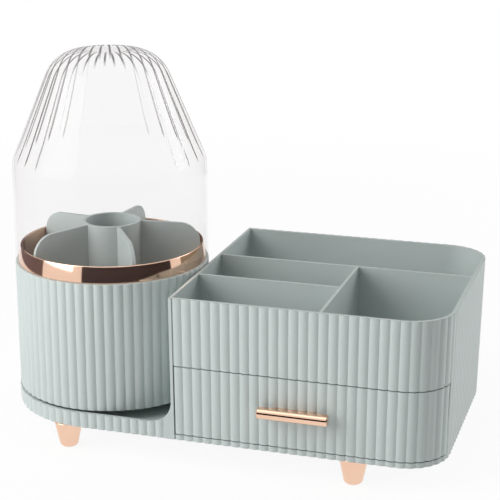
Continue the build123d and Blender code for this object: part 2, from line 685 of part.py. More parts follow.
# ---------------------------------------------------------------- feet
for name, spot in FEET.items():
    with BuildPart(level(PAD_PROUD)) as foot:
        with Locations(spot):
            Cone(
                FOOT_TIP_RADIUS,
                FOOT_TOP_RADIUS,
                FOOT_HEIGHT - PAD_PROUD,
                align=(Align.CENTER, Align.CENTER, Align.MIN),
            )
        fillet(foot.edges().filter_by(GeomType.CIRCLE).sort_by(Axis.Z)[0], FOOT_TIP_ROUND)
        with BuildSketch(level(PAD_PROUD)):
            with Locations(spot):
                Circle(PAD_RADIUS + SEAT_GAP)
        extrude(amount=PAD_THICKNESS - PAD_PROUD, mode=Mode.SUBTRACT)
        with BuildSketch(level(FOOT_HEIGHT)):
            with Locations(spot):
                Circle(SCREW_HOLE)
        extrude(amount=-(FOOT_SCREW_BITE + SCREW_TIP_ROOM), mode=Mode.SUBTRACT)
    foot.part.label = name
    export_step(foot.part, f"parts/{name}.step")

foot_screws = make_screws(
    level(FLOOR_TOP - SCREW_HEAD_HEIGHT),
    FEET.values(),
    FLOOR_THICKNESS - SCREW_HEAD_HEIGHT + FOOT_SCREW_BITE,
    SCREW_RADIUS,
    SCREW_HEAD_RADIUS,
    SCREW_HEAD_HEIGHT,
    SCREW_RECESS,
)
foot_screws.part.label = "foot_screws"
export_step(foot_screws.part, "parts/foot_screws.step")

with BuildPart() as foot_pads:
    with BuildSketch(level(0)):
        with Locations(*FEET.values()):
            Circle(PAD_RADIUS)
    extrude(amount=PAD_THICKNESS)
foot_pads.part.label = "foot_pads"
export_step(foot_pads.part, "parts/foot_pads.step")
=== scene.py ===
# %% [markdown]
# # A vanity organizer with a turning brush drum
#
# The object is a reeded plastic cabinet with a drawer, a reeded drum that turns beside it,
# a clear dome over the drum, and bright rose-gold trim: a collar, a pull and four feet.
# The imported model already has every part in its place, so this scene loads it first. It
# then adds finishes, and swaps a few nodes for finer surfaces where gloss shows each facet.

import json
import math

import bpy
import bmesh
import numpy as np
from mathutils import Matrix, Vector


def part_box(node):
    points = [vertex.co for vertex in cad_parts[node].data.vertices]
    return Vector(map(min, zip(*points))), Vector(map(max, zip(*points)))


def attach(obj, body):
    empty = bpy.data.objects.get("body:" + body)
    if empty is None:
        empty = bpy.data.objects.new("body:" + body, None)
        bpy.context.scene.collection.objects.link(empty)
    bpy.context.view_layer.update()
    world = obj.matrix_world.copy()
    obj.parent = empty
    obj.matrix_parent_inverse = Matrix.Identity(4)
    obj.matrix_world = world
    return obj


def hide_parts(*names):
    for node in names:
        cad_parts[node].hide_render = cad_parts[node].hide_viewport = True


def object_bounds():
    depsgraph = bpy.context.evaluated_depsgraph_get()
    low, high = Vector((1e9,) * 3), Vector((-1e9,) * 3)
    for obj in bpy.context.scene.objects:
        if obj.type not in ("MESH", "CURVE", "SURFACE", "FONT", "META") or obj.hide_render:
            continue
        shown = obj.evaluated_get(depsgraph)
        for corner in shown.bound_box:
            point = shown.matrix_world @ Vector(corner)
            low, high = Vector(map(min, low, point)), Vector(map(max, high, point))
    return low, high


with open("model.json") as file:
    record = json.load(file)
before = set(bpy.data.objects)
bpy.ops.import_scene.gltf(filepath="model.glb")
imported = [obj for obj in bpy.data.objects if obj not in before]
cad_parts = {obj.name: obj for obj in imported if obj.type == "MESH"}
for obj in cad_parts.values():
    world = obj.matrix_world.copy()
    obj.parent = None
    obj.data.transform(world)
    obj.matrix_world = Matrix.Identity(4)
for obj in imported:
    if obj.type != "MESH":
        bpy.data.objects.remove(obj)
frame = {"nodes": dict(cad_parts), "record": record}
cad_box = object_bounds()
MM = 0.001

# %% [markdown]
# Places could be typed in, but then they would go stale when the model changes. So they come
# from the frame: the box around the drum gives its axis, its radius and its height, and the
# collar, the dome and the insert share that axis.

# %% Places read from the frame
drum_low, drum_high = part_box("brush_drum")
AXIS_X = (drum_low.x + drum_high.x) / 2
AXIS_Y = (drum_low.y + drum_high.y) / 2
AXIS = (AXIS_X, AXIS_Y)
DRUM_RADIUS = (drum_high.x - drum_low.x) / 2
SHELL_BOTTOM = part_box("body_shell")[0].z
print("drum axis", round(AXIS_X, 4), round(AXIS_Y, 4), "radius", round(DRUM_RADIUS, 4))

# %% [markdown]
# ## Camera
#
# The picture was taken with a long lens a little above the rim, from the front right. A
# camera could be dragged about until the view agrees, but two angles and a distance are
# easier to read, and to change one at a time. The camera stands on a line that rises by the
# elevation and swings by the azimuth from straight in front, and looks back along it.

# %% Camera
AZIMUTH = math.radians(17.34)
ELEVATION = math.radians(16.42)
DISTANCE = 0.9822
LENS = 104.4
SENSOR = 36.0
TARGET_RIGHT = 98.75 * MM
TARGET_UP = 114.81 * MM
SHIFT = (0.0051, -0.0026)
CLIP = (0.05, 50.0)

target = Vector((AXIS_X + TARGET_RIGHT, AXIS_Y, SHELL_BOTTOM + TARGET_UP))
back = Vector((
    math.sin(AZIMUTH) * math.cos(ELEVATION),
    -math.cos(AZIMUTH) * math.cos(ELEVATION),
    math.sin(ELEVATION),
))
camera = bpy.data.objects.new("camera", bpy.data.cameras.new("camera"))
camera.location = target + back * DISTANCE
camera.rotation_mode = "QUATERNION"
camera.rotation_quaternion = (-back).to_track_quat("-Z", "Y")
camera.data.lens = LENS
camera.data.sensor_width = SENSOR
camera.data.shift_x, camera.data.shift_y = SHIFT
camera.data.clip_start, camera.data.clip_end = CLIP
bpy.context.collection.objects.link(camera)
bpy.context.scene.camera = camera
bpy.context.scene.view_settings.view_transform = "Standard"
print("camera at", [round(c, 3) for c in camera.location])


# %% [markdown]
# ## Node helpers
#
# A material is a small graph of nodes. Graphs can be wired by hand in the shader editor, but
# in a script a few helpers keep them short. The first two make an empty material and send a
# shader to its surface, and the third adds one node with its settings.

# %% Material and node
def new_material(name, kind="ShaderNodeBsdfPrincipled"):
    """A material with one shader that is already its surface: the material, its tree, the shader."""
    material = bpy.data.materials.new(name)
    material.use_nodes = True
    tree = material.node_tree
    tree.nodes.clear()
    shader = tree.nodes.new(kind)
    tree.nodes.new("ShaderNodeOutputMaterial")
    show(tree, shader.outputs[0])
    return material, tree, shader


def show(tree, socket):
    """Send a shader's socket to the material's surface."""
    output = next(node for node in tree.nodes if node.type == "OUTPUT_MATERIAL")
    tree.links.new(socket, output.inputs["Surface"])


def add_node(tree, kind, inputs=None, **settings):
    """One node with its settings; inputs holds a number or a linked socket for each name."""
    node = tree.nodes.new(kind)
    for key, value in settings.items():
        setattr(node, key, value)
    for key, value in (inputs or {}).items():
        if isinstance(value, bpy.types.NodeSocket):
            tree.links.new(value, node.inputs[key])
        else:
            node.inputs[key].default_value = value
    return node


# %% [markdown]
# Most patterns are one noise that is stretched, joined to another or turned into a colour.
# The noise reads object coordinates, so it stays on the piece when the piece moves.

# %% Patterns
def noise(tree, scale, detail=2.0):
    """Grey noise in object coordinates; scale is in lumps per metre."""
    place = add_node(tree, "ShaderNodeTexCoord")
    texture = add_node(
        tree, "ShaderNodeTexNoise", {"Vector": place.outputs["Object"], "Scale": scale, "Detail": detail}
    )
    return texture.outputs["Fac"]


def ranged(tree, value, low, high, start=0.0, end=1.0):
    """A grey pattern that runs from start to end, laid out again from low to high."""
    node = add_node(
        tree,
        "ShaderNodeMapRange",
        {"Value": value, "From Min": start, "From Max": end, "To Min": low, "To Max": high},
    )
    return node.outputs["Result"]


def combined(tree, operation, first, second):
    """Two grey values joined by one operation, such as MULTIPLY or POWER."""
    node = add_node(tree, "ShaderNodeMath", {0: first, 1: second}, operation=operation)
    return node.outputs[0]


def blended(tree, factor, first, second):
    """A colour that goes from first to second with a grey pattern."""
    node = add_node(tree, "ShaderNodeMix", {"Factor": factor}, data_type="RGBA")
    node.inputs["A"].default_value = (*first, 1.0)
    node.inputs["B"].default_value = (*second, 1.0)
    return node.outputs["Result"]


# %% [markdown]
# ## Moulded plastic
#
# The body is moulded plastic in a grey sage green with a satin skin. Such plastic isn't one
# flat colour: the flow of the melt leaves faint clouds, and the mould's fine spark texture
# breaks up the gloss. An image could show that, but noise has no seams and no resolution. A
# wide noise tints the colour and a fine one drives a shallow bump. A moulded edge is never
# knife sharp, so the bevel node turns the light round each edge without more geometry.

# %% Moulded plastic
SAGE = (0.512, 0.568, 0.556)
SAGE_DEEP = (0.482, 0.540, 0.527)
CAGE_WHITE = (0.80, 0.79, 0.74)
CAGE_SHADE = (0.74, 0.73, 0.68)
RUBBER = (0.06, 0.06, 0.06)
RUBBER_DEEP = (0.04, 0.04, 0.04)
CLOUDS_PER_METRE = 18.0
GLOSS_PER_METRE = 60.0
GRAIN_PER_METRE = 2600.0
GRAIN_STRENGTH = 0.06
GRAIN_DEPTH = 0.2 * MM
SATIN = (0.36, 0.46)
MATT = (0.7, 0.85)
EDGE_ROUND = 0.35 * MM
EDGE_SAMPLES = 4
PLASTIC_IOR = 1.5


def moulded_plastic(name, light, deep, gloss=SATIN, grain=GRAIN_PER_METRE):
    """Moulded plastic: faint colour clouds, uneven gloss, a fine grain and soft edges."""
    material, tree, shader = new_material(name)
    clouds = noise(tree, CLOUDS_PER_METRE)
    fine = noise(tree, grain, detail=1.0)
    tree.links.new(blended(tree, clouds, light, deep), shader.inputs["Base Color"])
    tree.links.new(ranged(tree, noise(tree, GLOSS_PER_METRE), *gloss), shader.inputs["Roughness"])
    edges = add_node(tree, "ShaderNodeBevel", {"Radius": EDGE_ROUND}, samples=EDGE_SAMPLES)
    heights = {"Strength": GRAIN_STRENGTH, "Distance": GRAIN_DEPTH, "Height": fine}
    bump = add_node(tree, "ShaderNodeBump", {**heights, "Normal": edges.outputs["Normal"]})
    tree.links.new(bump.outputs["Normal"], shader.inputs["Normal"])
    shader.inputs["IOR"].default_value = PLASTIC_IOR
    return material


sage_plastic = moulded_plastic("sage_plastic", SAGE, SAGE_DEEP)
cage_plastic = moulded_plastic("cage_plastic", CAGE_WHITE, CAGE_SHADE)
pad_rubber = moulded_plastic("pad_rubber", RUBBER, RUBBER_DEEP, gloss=MATT, grain=1500.0)
print("plastics:", sage_plastic.name, cage_plastic.name, pad_rubber.name)

# %% [markdown]
# ## Plating
#
# The trim is plastic plated to a mirror in rose gold. A plated surface is metal to the eye,
# so metallic is 1 and its colour tints every reflection. A perfect mirror looks drawn, so
# the roughness changes by very little and a long, shallow wave bends the reflections. The
# steel of the screws and races is the same recipe with a duller gloss.

# %% Plating
ROSE = (0.90, 0.62, 0.47)
ROSE_WARM = (0.86, 0.56, 0.40)
STEEL = (0.66, 0.67, 0.68)
STEEL_DEEP = (0.60, 0.61, 0.63)
RACE = (0.52, 0.53, 0.55)
RACE_DEEP = (0.46, 0.47, 0.49)
TINTS_PER_METRE = 40.0
HAZE_PER_METRE = 300.0
WAVES_PER_METRE = 55.0
WAVE_DEPTH = 0.5 * MM


def plated(name, light, deep, gloss, wave=0.02):
    """Bright metal with a faint tint, a faint haze and a long, shallow wave."""
    material, tree, shader = new_material(name)
    shader.inputs["Metallic"].default_value = 1.0
    tint = noise(tree, TINTS_PER_METRE)
    tree.links.new(blended(tree, tint, light, deep), shader.inputs["Base Color"])
    tree.links.new(ranged(tree, noise(tree, HAZE_PER_METRE), *gloss), shader.inputs["Roughness"])
    heights = {"Strength": wave, "Distance": WAVE_DEPTH, "Height": noise(tree, WAVES_PER_METRE)}
    bump = add_node(tree, "ShaderNodeBump", heights)
    tree.links.new(bump.outputs["Normal"], shader.inputs["Normal"])
    return material


rose_gold = plated("rose_gold", ROSE, ROSE_WARM, gloss=(0.05, 0.10))
bright_steel = plated("bright_steel", STEEL, STEEL_DEEP, gloss=(0.22, 0.32))
race_steel = plated("race_steel", RACE, RACE_DEEP, gloss=(0.32, 0.44), wave=0.05)
print("metals:", rose_gold.name, bright_steel.name, race_steel.name)

# %% [markdown]
# ## Clear plastic
#
# The dome is clear moulded plastic with a faint warm tint, and it hardly shows against
# white. Refraction could make it, but a wall this thin bends light too little to see, so the
# wall is thin in alpha instead and whatever stands inside stays crisp. The eye looks through
# more plastic near the outline, so alpha rises with the facing weight. Along each fold where
# two flutes meet, marked by an attribute of the mesh called crease, a near-black painted shade
# stands in for the dark refraction there, strongest where the wall turns away from the eye.
# A thin alpha also thins the reflections, and an index above plastic's own 1.5 brings them back.

# %% Clear plastic
CLEAR = (0.42, 0.33, 0.35)
# Near-black painted shade for the dark refraction along each crease.
CREASE_PAINTED_SHADE = (0.03, 0.026, 0.026)
CLEAR_GLOSS = (0.02, 0.04)
SMEARS_PER_METRE = 90.0
CLEAR_ALPHA = 0.026
OUTLINE_ALPHA = 0.13
OUTLINE_POWER = 4.0
CREASE_FAINT = 0.02
CREASE_ALPHA = 1.0
CREASE_TURN = (0.22, 0.42)
CLEAR_IOR = 2.2


def clear_plastic(name):
    """Thin clear plastic with a painted shade along its creases. alpha = the larger of the wall's,
    which grows as the fourth power of the facing weight, and the crease line's, which shows where
    the wall turns away; along that line the colour goes to a near-black painted shade."""
    material, tree, shader = new_material(name)
    crease = add_node(tree, "ShaderNodeAttribute", attribute_name="crease").outputs["Fac"]
    facing = add_node(tree, "ShaderNodeLayerWeight", {"Blend": 0.5}).outputs["Facing"]
    # Painted shade: the colour goes to near black along the creases.
    tree.links.new(blended(tree, crease, CLEAR, CREASE_PAINTED_SHADE), shader.inputs["Base Color"])
    smears = noise(tree, SMEARS_PER_METRE)
    tree.links.new(ranged(tree, smears, *CLEAR_GLOSS), shader.inputs["Roughness"])
    thicker = combined(tree, "POWER", facing, OUTLINE_POWER)
    wall = ranged(tree, thicker, CLEAR_ALPHA, OUTLINE_ALPHA)
    # The painted crease shade shows most where the wall turns away from the eye.
    turned_away = ranged(tree, facing, CREASE_FAINT, CREASE_ALPHA, *CREASE_TURN)
    line = combined(tree, "MULTIPLY", crease, turned_away)
    tree.links.new(combined(tree, "MAXIMUM", wall, line), shader.inputs["Alpha"])
    shader.inputs["IOR"].default_value = CLEAR_IOR
    return material


clear_cover = clear_plastic("clear_cover")
print("clear:", clear_cover.name)

# %% [markdown]
# The record names the finish of each node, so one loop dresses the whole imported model. Hand
# painting each node would do the same, but a new node would then be missed.

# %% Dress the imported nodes
FINISHES = {
    "sage_plastic": sage_plastic,
    "rose_gold": rose_gold,
    "clear_cover": clear_cover,
    "race_steel": race_steel,
    "bright_steel": bright_steel,
    "cage_plastic": cage_plastic,
    "pad_rubber": pad_rubber,
}
for part in frame["record"]["subparts"]:
    shown = frame["nodes"][part["node"]]
    shown.data.materials.clear()
    shown.data.materials.append(FINISHES[part["material_slot"]])


# %% [markdown]
# ## Surfaces from arrays
#
# Each new piece is a grid of points. One way along the grid follows a profile, and the
# other goes round an axis or along a bar. Where a way closes, its last row joins its first,
# and a pole is a row of points in one place, merged afterwards. Modelling tools could spin
# the same profiles, but an array lets a formula move every point at once.

# %% Grid to mesh
SHARP_ANGLE = math.radians(38)
MERGE_DISTANCE = 1e-7


def skin(name, points, path_closes=True):
    """A quad skin over points[path, turn]. The turn always closes; the path closes if asked.
    Each face joins a point, the next along the path, the one diagonal to it and the next turn."""
    rows, cols = points.shape[:2]
    index = np.arange(rows * cols).reshape(rows, cols)
    index = np.hstack([index, index[:, :1]])
    if path_closes:
        index = np.vstack([index, index[:1]])
    corners = [index[:-1, :-1], index[1:, :-1], index[1:, 1:], index[:-1, 1:]]
    faces = np.stack(corners, axis=-1).reshape(-1, 4)
    mesh = bpy.data.meshes.new(name)
    mesh.from_pydata(points.reshape(-1, 3).tolist(), [], faces.tolist())
    work = bmesh.new()
    work.from_mesh(mesh)
    bmesh.ops.remove_doubles(work, verts=work.verts, dist=MERGE_DISTANCE)
    bmesh.ops.recalc_face_normals(work, faces=work.faces)
    work.to_mesh(mesh)
    work.free()
    mesh.shade_smooth()
    mesh.set_sharp_from_angle(angle=SHARP_ANGLE)
    piece = bpy.data.objects.new(name, mesh)
    bpy.context.collection.objects.link(piece)
    return piece


# %% [markdown]
# A moulded or plated edge has a small round that catches the light. It could be bevelled on
# the mesh, but a profile with round corners gives the same edge all the way round.

# %% Rounded profile
def rounded(corners, radii, steps=5):
    """A profile with its corners rounded.
    Each arc leaves both sides at one distance from the corner, radius / tan(half the angle),
    and its points are the circle's, swept from one tangent point to the other."""
    corners = np.asarray(corners, dtype=float)
    lines = []
    for before, corner, after, radius in zip(
        np.roll(corners, 1, axis=0), corners, np.roll(corners, -1, axis=0), radii
    ):
        if radius == 0:
            lines.append(corner[None])
            continue
        to_before = (before - corner) / np.linalg.norm(before - corner)
        to_after = (after - corner) / np.linalg.norm(after - corner)
        half = math.acos(np.clip(to_before @ to_after, -1, 1)) / 2
        middle = (to_before + to_after) / np.linalg.norm(to_before + to_after)
        centre = corner + middle * radius / math.sin(half)
        sweep = np.linspace(-1, 1, steps + 1)[:, None] * (math.pi / 2 - half)
        side = to_after - middle * (to_after @ middle)
        side = side / np.linalg.norm(side)
        lines.append(centre + radius * (np.sin(sweep) * side - np.cos(sweep) * middle))
    return np.concatenate(lines)


# %% [markdown]
# The drum, the collar, the dome and the feet are all round about an upright axis. One
# function turns their profiles, and adds a bulge where the surface has reeds or flutes.

# %% Turned profile
def full_turn(steps):
    """Evenly spaced angles round a circle: 2 pi times the step's number over the steps."""
    return np.arange(steps) * 2 * math.pi / steps


def turned(profile, angles, centre, bulge=0.0):
    """Points of a profile of (radius, height) swept round an upright axis.
    x = centre x + (radius + bulge) * cos(angle), y the same with sine, z = height.
    bulge may be a grid, path by turn, for reeds or flutes."""
    radius = profile[:, :1] + bulge
    x = centre[0] + radius * np.cos(angles)
    y = centre[1] + radius * np.sin(angles)
    z = np.broadcast_to(profile[:, 1:2], x.shape)
    return np.stack([x, y, z], axis=-1)


# %% [markdown]
# A finished piece takes its finish, moves with its body, and hides the plain node that it
# stands for.

# %% Dress a new piece
def dress(piece, body, slot, *nodes):
    """Finish a piece, let it ride on its body, and let it stand for its nodes."""
    piece.data.materials.append(FINISHES[slot])
    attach(piece, body)
    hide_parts(*nodes)
    print(piece.name, "faces", len(piece.data.polygons))


# %% [markdown]
# ## Brush drum
#
# The drum is a moulded cup with convex reeds outside and a smooth bore. The reeds could be
# half-round bars set side by side, but the real cup is one moulding. So it is one surface,
# and its radius rises and falls as one shallow arch per reed. The reeds fade out at the
# rounded edges, and the inside has none.

# %% Brush drum
REED_DEPTH = 0.9 * MM
REEDS = 64
ARCH_STEPS = 10
DRUM_BORE = 63.5 * MM
DRUM_FLOOR = 3.0 * MM
FOOT_EDGE = 0.8 * MM
BRIM_EDGE = 0.6 * MM
MOUTH_EDGE = 0.5 * MM
INNER_CORNER = 2.0 * MM
REEDLESS_BRIM = 0.4 * MM


def arches(count, steps):
    """Angles round a circle and the height of an arch at each, 0 in a valley, 1 on a crest.
    The arch is 1 - (2t - 1)^2, where t runs from 0 to 1 across one reed."""
    turn = np.arange(count * steps) / steps
    arch = 1 - (2 * (turn % 1.0) - 1) ** 2
    return turn * 2 * math.pi / count, arch


valley = DRUM_RADIUS - REED_DEPTH
drum_floor_top = drum_low.z + DRUM_FLOOR
cup = rounded(
    [
        (0.0, drum_low.z),
        (valley, drum_low.z),
        (valley, drum_high.z),
        (DRUM_BORE, drum_high.z),
        (DRUM_BORE, drum_floor_top),
        (0.0, drum_floor_top),
    ],
    [0, FOOT_EDGE, BRIM_EDGE, MOUTH_EDGE, INNER_CORNER, 0],
)
reed_angles, reed_arch = arches(REEDS, ARCH_STEPS)
reedless = DRUM_BORE + REEDLESS_BRIM
outside = np.clip((cup[:, :1] - reedless) / (valley - reedless), 0, 1)
reeds = outside**2 * reed_arch * REED_DEPTH
drum = skin("reeded_drum", turned(cup, reed_angles, AXIS, reeds), path_closes=False)
dress(drum, "drum", "sage_plastic", "brush_drum")

# %% [markdown]
# ## Plated collar
#
# The collar plugs into the drum's mouth and shows as a leaning band with a thin bright rim.
# A plain turned profile makes it. A mirror shows each facet as a break in its reflections,
# so the turn has many more steps than a matt piece would need.

# %% Plated collar
TURN_STEPS = 192
COLLAR_BORE = 62.0 * MM
COLLAR_PLUG = 63.4 * MM
COLLAR_TOP = 63.3 * MM
PLUG_EDGE = 0.2 * MM
BAND_EDGE = 0.5 * MM
RIM_EDGE = 0.4 * MM
collar_low, collar_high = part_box("mirror_ring")
collar_foot = (collar_high.x - collar_low.x) / 2
collar_seat = drum_high.z
band = rounded(
    [
        (COLLAR_BORE, collar_low.z),
        (COLLAR_PLUG, collar_low.z),
        (COLLAR_PLUG, collar_seat),
        (collar_foot, collar_seat),
        (COLLAR_TOP, collar_high.z),
        (COLLAR_BORE, collar_high.z),
    ],
    [PLUG_EDGE, PLUG_EDGE, 0, BAND_EDGE, BAND_EDGE, RIM_EDGE],
)
collar = skin("plated_collar", turned(band, full_turn(TURN_STEPS), AXIS))
dress(collar, "drum", "rose_gold", "mirror_ring")

# %% [markdown]
# ## Dome outline
#
# The dome is moulded in one piece: a nearly straight skirt, a kink, a cone and a round
# crown. A traced list of points would show small flats in the gloss, so the outline is
# worked out from the kink and two radii, and its lines and arcs meet without a corner. The
# same function gives the inner wall, a wall's thickness in.

# %% Dome outline
DOME_WALL = 1.4 * MM
KINK_RADIUS = 66.5 * MM
KINK_RISE = 69.7 * MM
KINK_ROUND = 8.0 * MM
CONE_ANGLE = math.radians(22.8)
CROWN_RADIUS = 27.0 * MM
NUB_RADIUS = 1.4 * MM
NUB_HEIGHT = 0.5 * MM
WALL_STEPS = 14
KINK_STEPS = 7
CROWN_STEPS = 16
TOP_STEPS = 4
TOP_START = 0.75
dome_low, dome_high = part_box("dome_cover")
dome_foot = (dome_high.x - dome_low.x) / 2
dome_top = dome_high.z - NUB_HEIGHT
kink_height = dome_low.z + KINK_RISE


def dome_profile(inset):
    """The dome's outline from lip to top at a distance inside its outer face, as (radius, height).
    Straight skirt, an arc at the kink, a straight cone, a crown arc and a flat top."""
    lean = math.atan2(dome_foot - KINK_RADIUS, kink_height - dome_low.z)
    crown_centre_z = dome_top - CROWN_RADIUS
    crown_start_z = crown_centre_z + CROWN_RADIUS * math.sin(CONE_ANGLE)
    crown_start_x = KINK_RADIUS - (crown_start_z - kink_height) * math.tan(CONE_ANGLE)
    crown_centre_x = crown_start_x - CROWN_RADIUS * math.cos(CONE_ANGLE)
    bend = np.linspace(lean, CONE_ANGLE, KINK_STEPS)
    shift = KINK_ROUND * math.tan((CONE_ANGLE - lean) / 2)
    kink_centre = np.array([
        KINK_RADIUS + shift * math.sin(lean) - KINK_ROUND * math.cos(lean),
        kink_height - shift * math.cos(lean) - KINK_ROUND * math.sin(lean),
    ])
    kink = kink_centre + (KINK_ROUND - inset) * np.stack([np.cos(bend), np.sin(bend)], axis=-1)
    arc = np.linspace(CONE_ANGLE, math.pi / 2, CROWN_STEPS)
    crown = np.stack([np.cos(arc), np.sin(arc)], axis=-1) * (CROWN_RADIUS - inset)
    crown = crown + np.array([crown_centre_x, crown_centre_z])
    foot = np.array([[dome_foot - inset, dome_low.z]])
    rise = np.linspace(0, 1, WALL_STEPS)[:, None]
    skirt = foot + (kink[:1] - foot) * rise
    cone = kink[-1:] + (crown[:1] - kink[-1:]) * rise
    flat = crown[-1:] * np.array([1.0, 0.0]) * np.linspace(TOP_START, 0, TOP_STEPS)[:, None]
    flat = flat + crown[-1:] * np.array([0.0, 1.0])
    return np.concatenate([skirt[:-1], kink[:-1], cone, crown[1:], flat])


# The nub's corners as shares of its radius and its height.
nub_shape = np.array([[1.0, 0.0], [1.0, 0.7], [0.7, 1.0], [0.0, 1.0]])
nub = nub_shape * (NUB_RADIUS, NUB_HEIGHT) + (0, dome_top)
outer = np.concatenate([dome_profile(0.0)[:-1], nub])
inner = dome_profile(DOME_WALL)
print("dome outline:", len(outer), "points outside,", len(inner), "inside")

# %% [markdown]
# ## Flutes
#
# The skirt is smooth. Above the kink the cone and the crown are a fan of shallow convex
# flutes whose lower ends are scalloped. A bump map could fake them, but the creases break
# the outline, so they are real. The radius falls from the middle of a flute to each crease
# by an arch, and the fall starts a little higher beside a crease than in the middle. The
# inside is smooth, both walls meet at the lip, and a small round nub, where the plastic
# entered the mould, stands in the middle of the top.

# %% Fluted dome
FLUTES = 32
FLUTE_DEPTH = 0.35 * MM
FLUTE_TURN = math.radians(8.4)
FLUTE_FADE = 6.0 * MM
FLAT_RADIUS = 16.0 * MM
SCALLOP = 9.0 * MM
# Shares across one flute. They crowd towards the creases, where the surface folds.
FLUTE_STEPS = np.array([0.0, 0.025, 0.07, 0.16, 0.28, 0.42, 0.58, 0.72, 0.84, 0.93, 0.975])

across = np.tile(FLUTE_STEPS, FLUTES)
flute_number = np.repeat(np.arange(FLUTES), len(FLUTE_STEPS))
dome_angles = (flute_number + across) * 2 * math.pi / FLUTES + FLUTE_TURN
flute_arch = 1 - (2 * across - 1) ** 2
flute_start = kink_height + SCALLOP * (1 - flute_arch) ** 2
begun = np.clip((outer[:, 1:2] - flute_start) / FLUTE_FADE, 0, 1)
ended = np.clip((outer[:, :1] - FLAT_RADIUS) / FLUTE_FADE, 0, 1)
fall = FLUTE_DEPTH * begun * ended * (flute_arch - 1)
dome_points = np.concatenate([
    turned(outer, dome_angles, AXIS, fall),
    turned(inner[::-1], dome_angles, AXIS),
])
dome = skin("fluted_dome", dome_points)

# %% [markdown]
# The clear finish paints a near-black shade along the creases, so it needs to know where they
# are. A texture could hold that, but the mesh can carry it as an attribute. It is worked out
# again from each point's place: how far the point lies from the nearest crease, and whether it
# is on the fluted part of the outer wall. A width in millimetres keeps the line as thin at the
# crown as at the kink.

# %% Crease attribute
CREASE_FULL = 0.40 * MM
CREASE_FADE = 0.55 * MM
CREASE_START = 0.6
place = np.empty(len(dome.data.vertices) * 3)
dome.data.vertices.foreach_get("co", place)
place = place.reshape(-1, 3)
radius = np.hypot(place[:, 0] - AXIS_X, place[:, 1] - AXIS_Y)
swing = np.arctan2(place[:, 1] - AXIS_Y, place[:, 0] - AXIS_X) - FLUTE_TURN
share = (swing * FLUTES / (2 * math.pi)) % 1.0
aside = np.minimum(share, 1 - share) * 2 * math.pi * radius / FLUTES
strength = np.clip((CREASE_FULL + CREASE_FADE - aside) / CREASE_FADE, 0, 1)
outer_radius = np.interp(place[:, 2], outer[:, 1], outer[:, 0])
on_outside = radius > outer_radius - DOME_WALL / 2
above_kink = place[:, 2] > kink_height + SCALLOP * CREASE_START
on_flutes = on_outside & above_kink & (radius > FLAT_RADIUS)
# The mask of where the clear finish paints its dark crease shade.
crease = dome.data.attributes.new("crease", "FLOAT", "POINT")
crease.data.foreach_set("value", (strength * on_flutes).astype(np.float32))
print("crease points:", int(np.count_nonzero(strength * on_flutes)), "of", len(place))
dress(dome, "dome", "clear_cover", "dome_cover")

# %% [markdown]
# ## Feet
#
# Each foot is a plated cone that stands point down, with a rounded tip. Four copies of one
# object would do, but a piece has to sit at the origin with its place in its mesh. So one
# profile is turned four times, each about the middle of its node's box.

# %% Plated feet
FOOT_TIP = 6.0 * MM
FOOT_TIP_ROUND = 3.2 * MM
FOOT_TOP_ROUND = 0.3 * MM
FOOT_STEPS = 64
for side in ("front_left", "front_right", "rear_left", "rear_right"):
    foot_low, foot_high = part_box("foot_" + side)
    foot_top = (foot_high.x - foot_low.x) / 2
    cone = rounded(
        [(0, foot_low.z), (FOOT_TIP, foot_low.z), (foot_top, foot_high.z), (0, foot_high.z)],
        [0, FOOT_TIP_ROUND, FOOT_TOP_ROUND, 0],
    )
    foot_axis = ((foot_low.x + foot_high.x) / 2, (foot_low.y + foot_high.y) / 2)
    foot_points = turned(cone, full_turn(FOOT_STEPS), foot_axis)
    foot = skin("plated_foot_" + side, foot_points, path_closes=False)
    dress(foot, "base", "rose_gold", "foot_" + side)

# %% [markdown]
# ## Pull bar
#
# The pull is a short plated bar with a flat back and a round front. A cylinder cut in half
# would be close, but its ends would be knife sharp. So the bar's section is carried along
# the bar, and shrinks a little at each end for a small bevel.

# %% Plated pull bar
BEVEL = 0.5 * MM
NOSE_STEPS = 25
bar_low, bar_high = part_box("handle_bar")
half = (bar_high.z - bar_low.z) / 2
nose = np.linspace(-math.pi / 2, math.pi / 2, NOSE_STEPS)
front_y = bar_low.y + half - half * np.cos(nose)
front_z = half * np.sin(nose)
section = np.stack([
    np.concatenate([front_y, [bar_high.y, bar_high.y]]),
    np.concatenate([front_z, [half, -half]]),
], axis=-1)
middle = np.array([(bar_low.y + bar_high.y) / 2, 0.0])
left, right = bar_low.x, bar_high.x
stations = np.array([left, left, left + BEVEL, right - BEVEL, right, right])
shrink = np.array([0.0, 1 - BEVEL / half, 1.0, 1.0, 1 - BEVEL / half, 0.0])
rows = middle + (section[None] - middle) * shrink[:, None, None]
bar_points = np.concatenate([
    np.broadcast_to(stations[:, None, None], rows.shape[:2] + (1,)),
    rows[..., :1],
    rows[..., 1:] + (bar_low.z + bar_high.z) / 2,
], axis=-1)
bar = skin("plated_pull", bar_points, path_closes=False)
dress(bar, "drawer", "rose_gold", "handle_bar")

# %% [markdown]
# ## White for the eye only
#
# The background is white. More light would whiten it, but would burn out the object too. So
# the floor and the room glow by themselves to the camera, to mirrors and through the clear
# plastic, and the light path node tells those rays from the ones that light a surface.

# %% Seen directly
def seen_directly(tree):
    """1 for camera, glossy and transmission rays, and 0 for the rays that light a surface."""
    rays = add_node(tree, "ShaderNodeLightPath").outputs
    camera_or_mirror = combined(tree, "MAXIMUM", rays["Is Camera Ray"], rays["Is Glossy Ray"])
    return combined(tree, "MAXIMUM", camera_or_mirror, rays["Is Transmission Ray"])


# %% [markdown]
# ## Floor
#
# The floor is a wide disc of pale studio paper. A disc that only glowed would leave the
# object floating, so a little of the plain paper stays mixed in near the object. It keeps a
# soft shadow there, and it fades out further off.

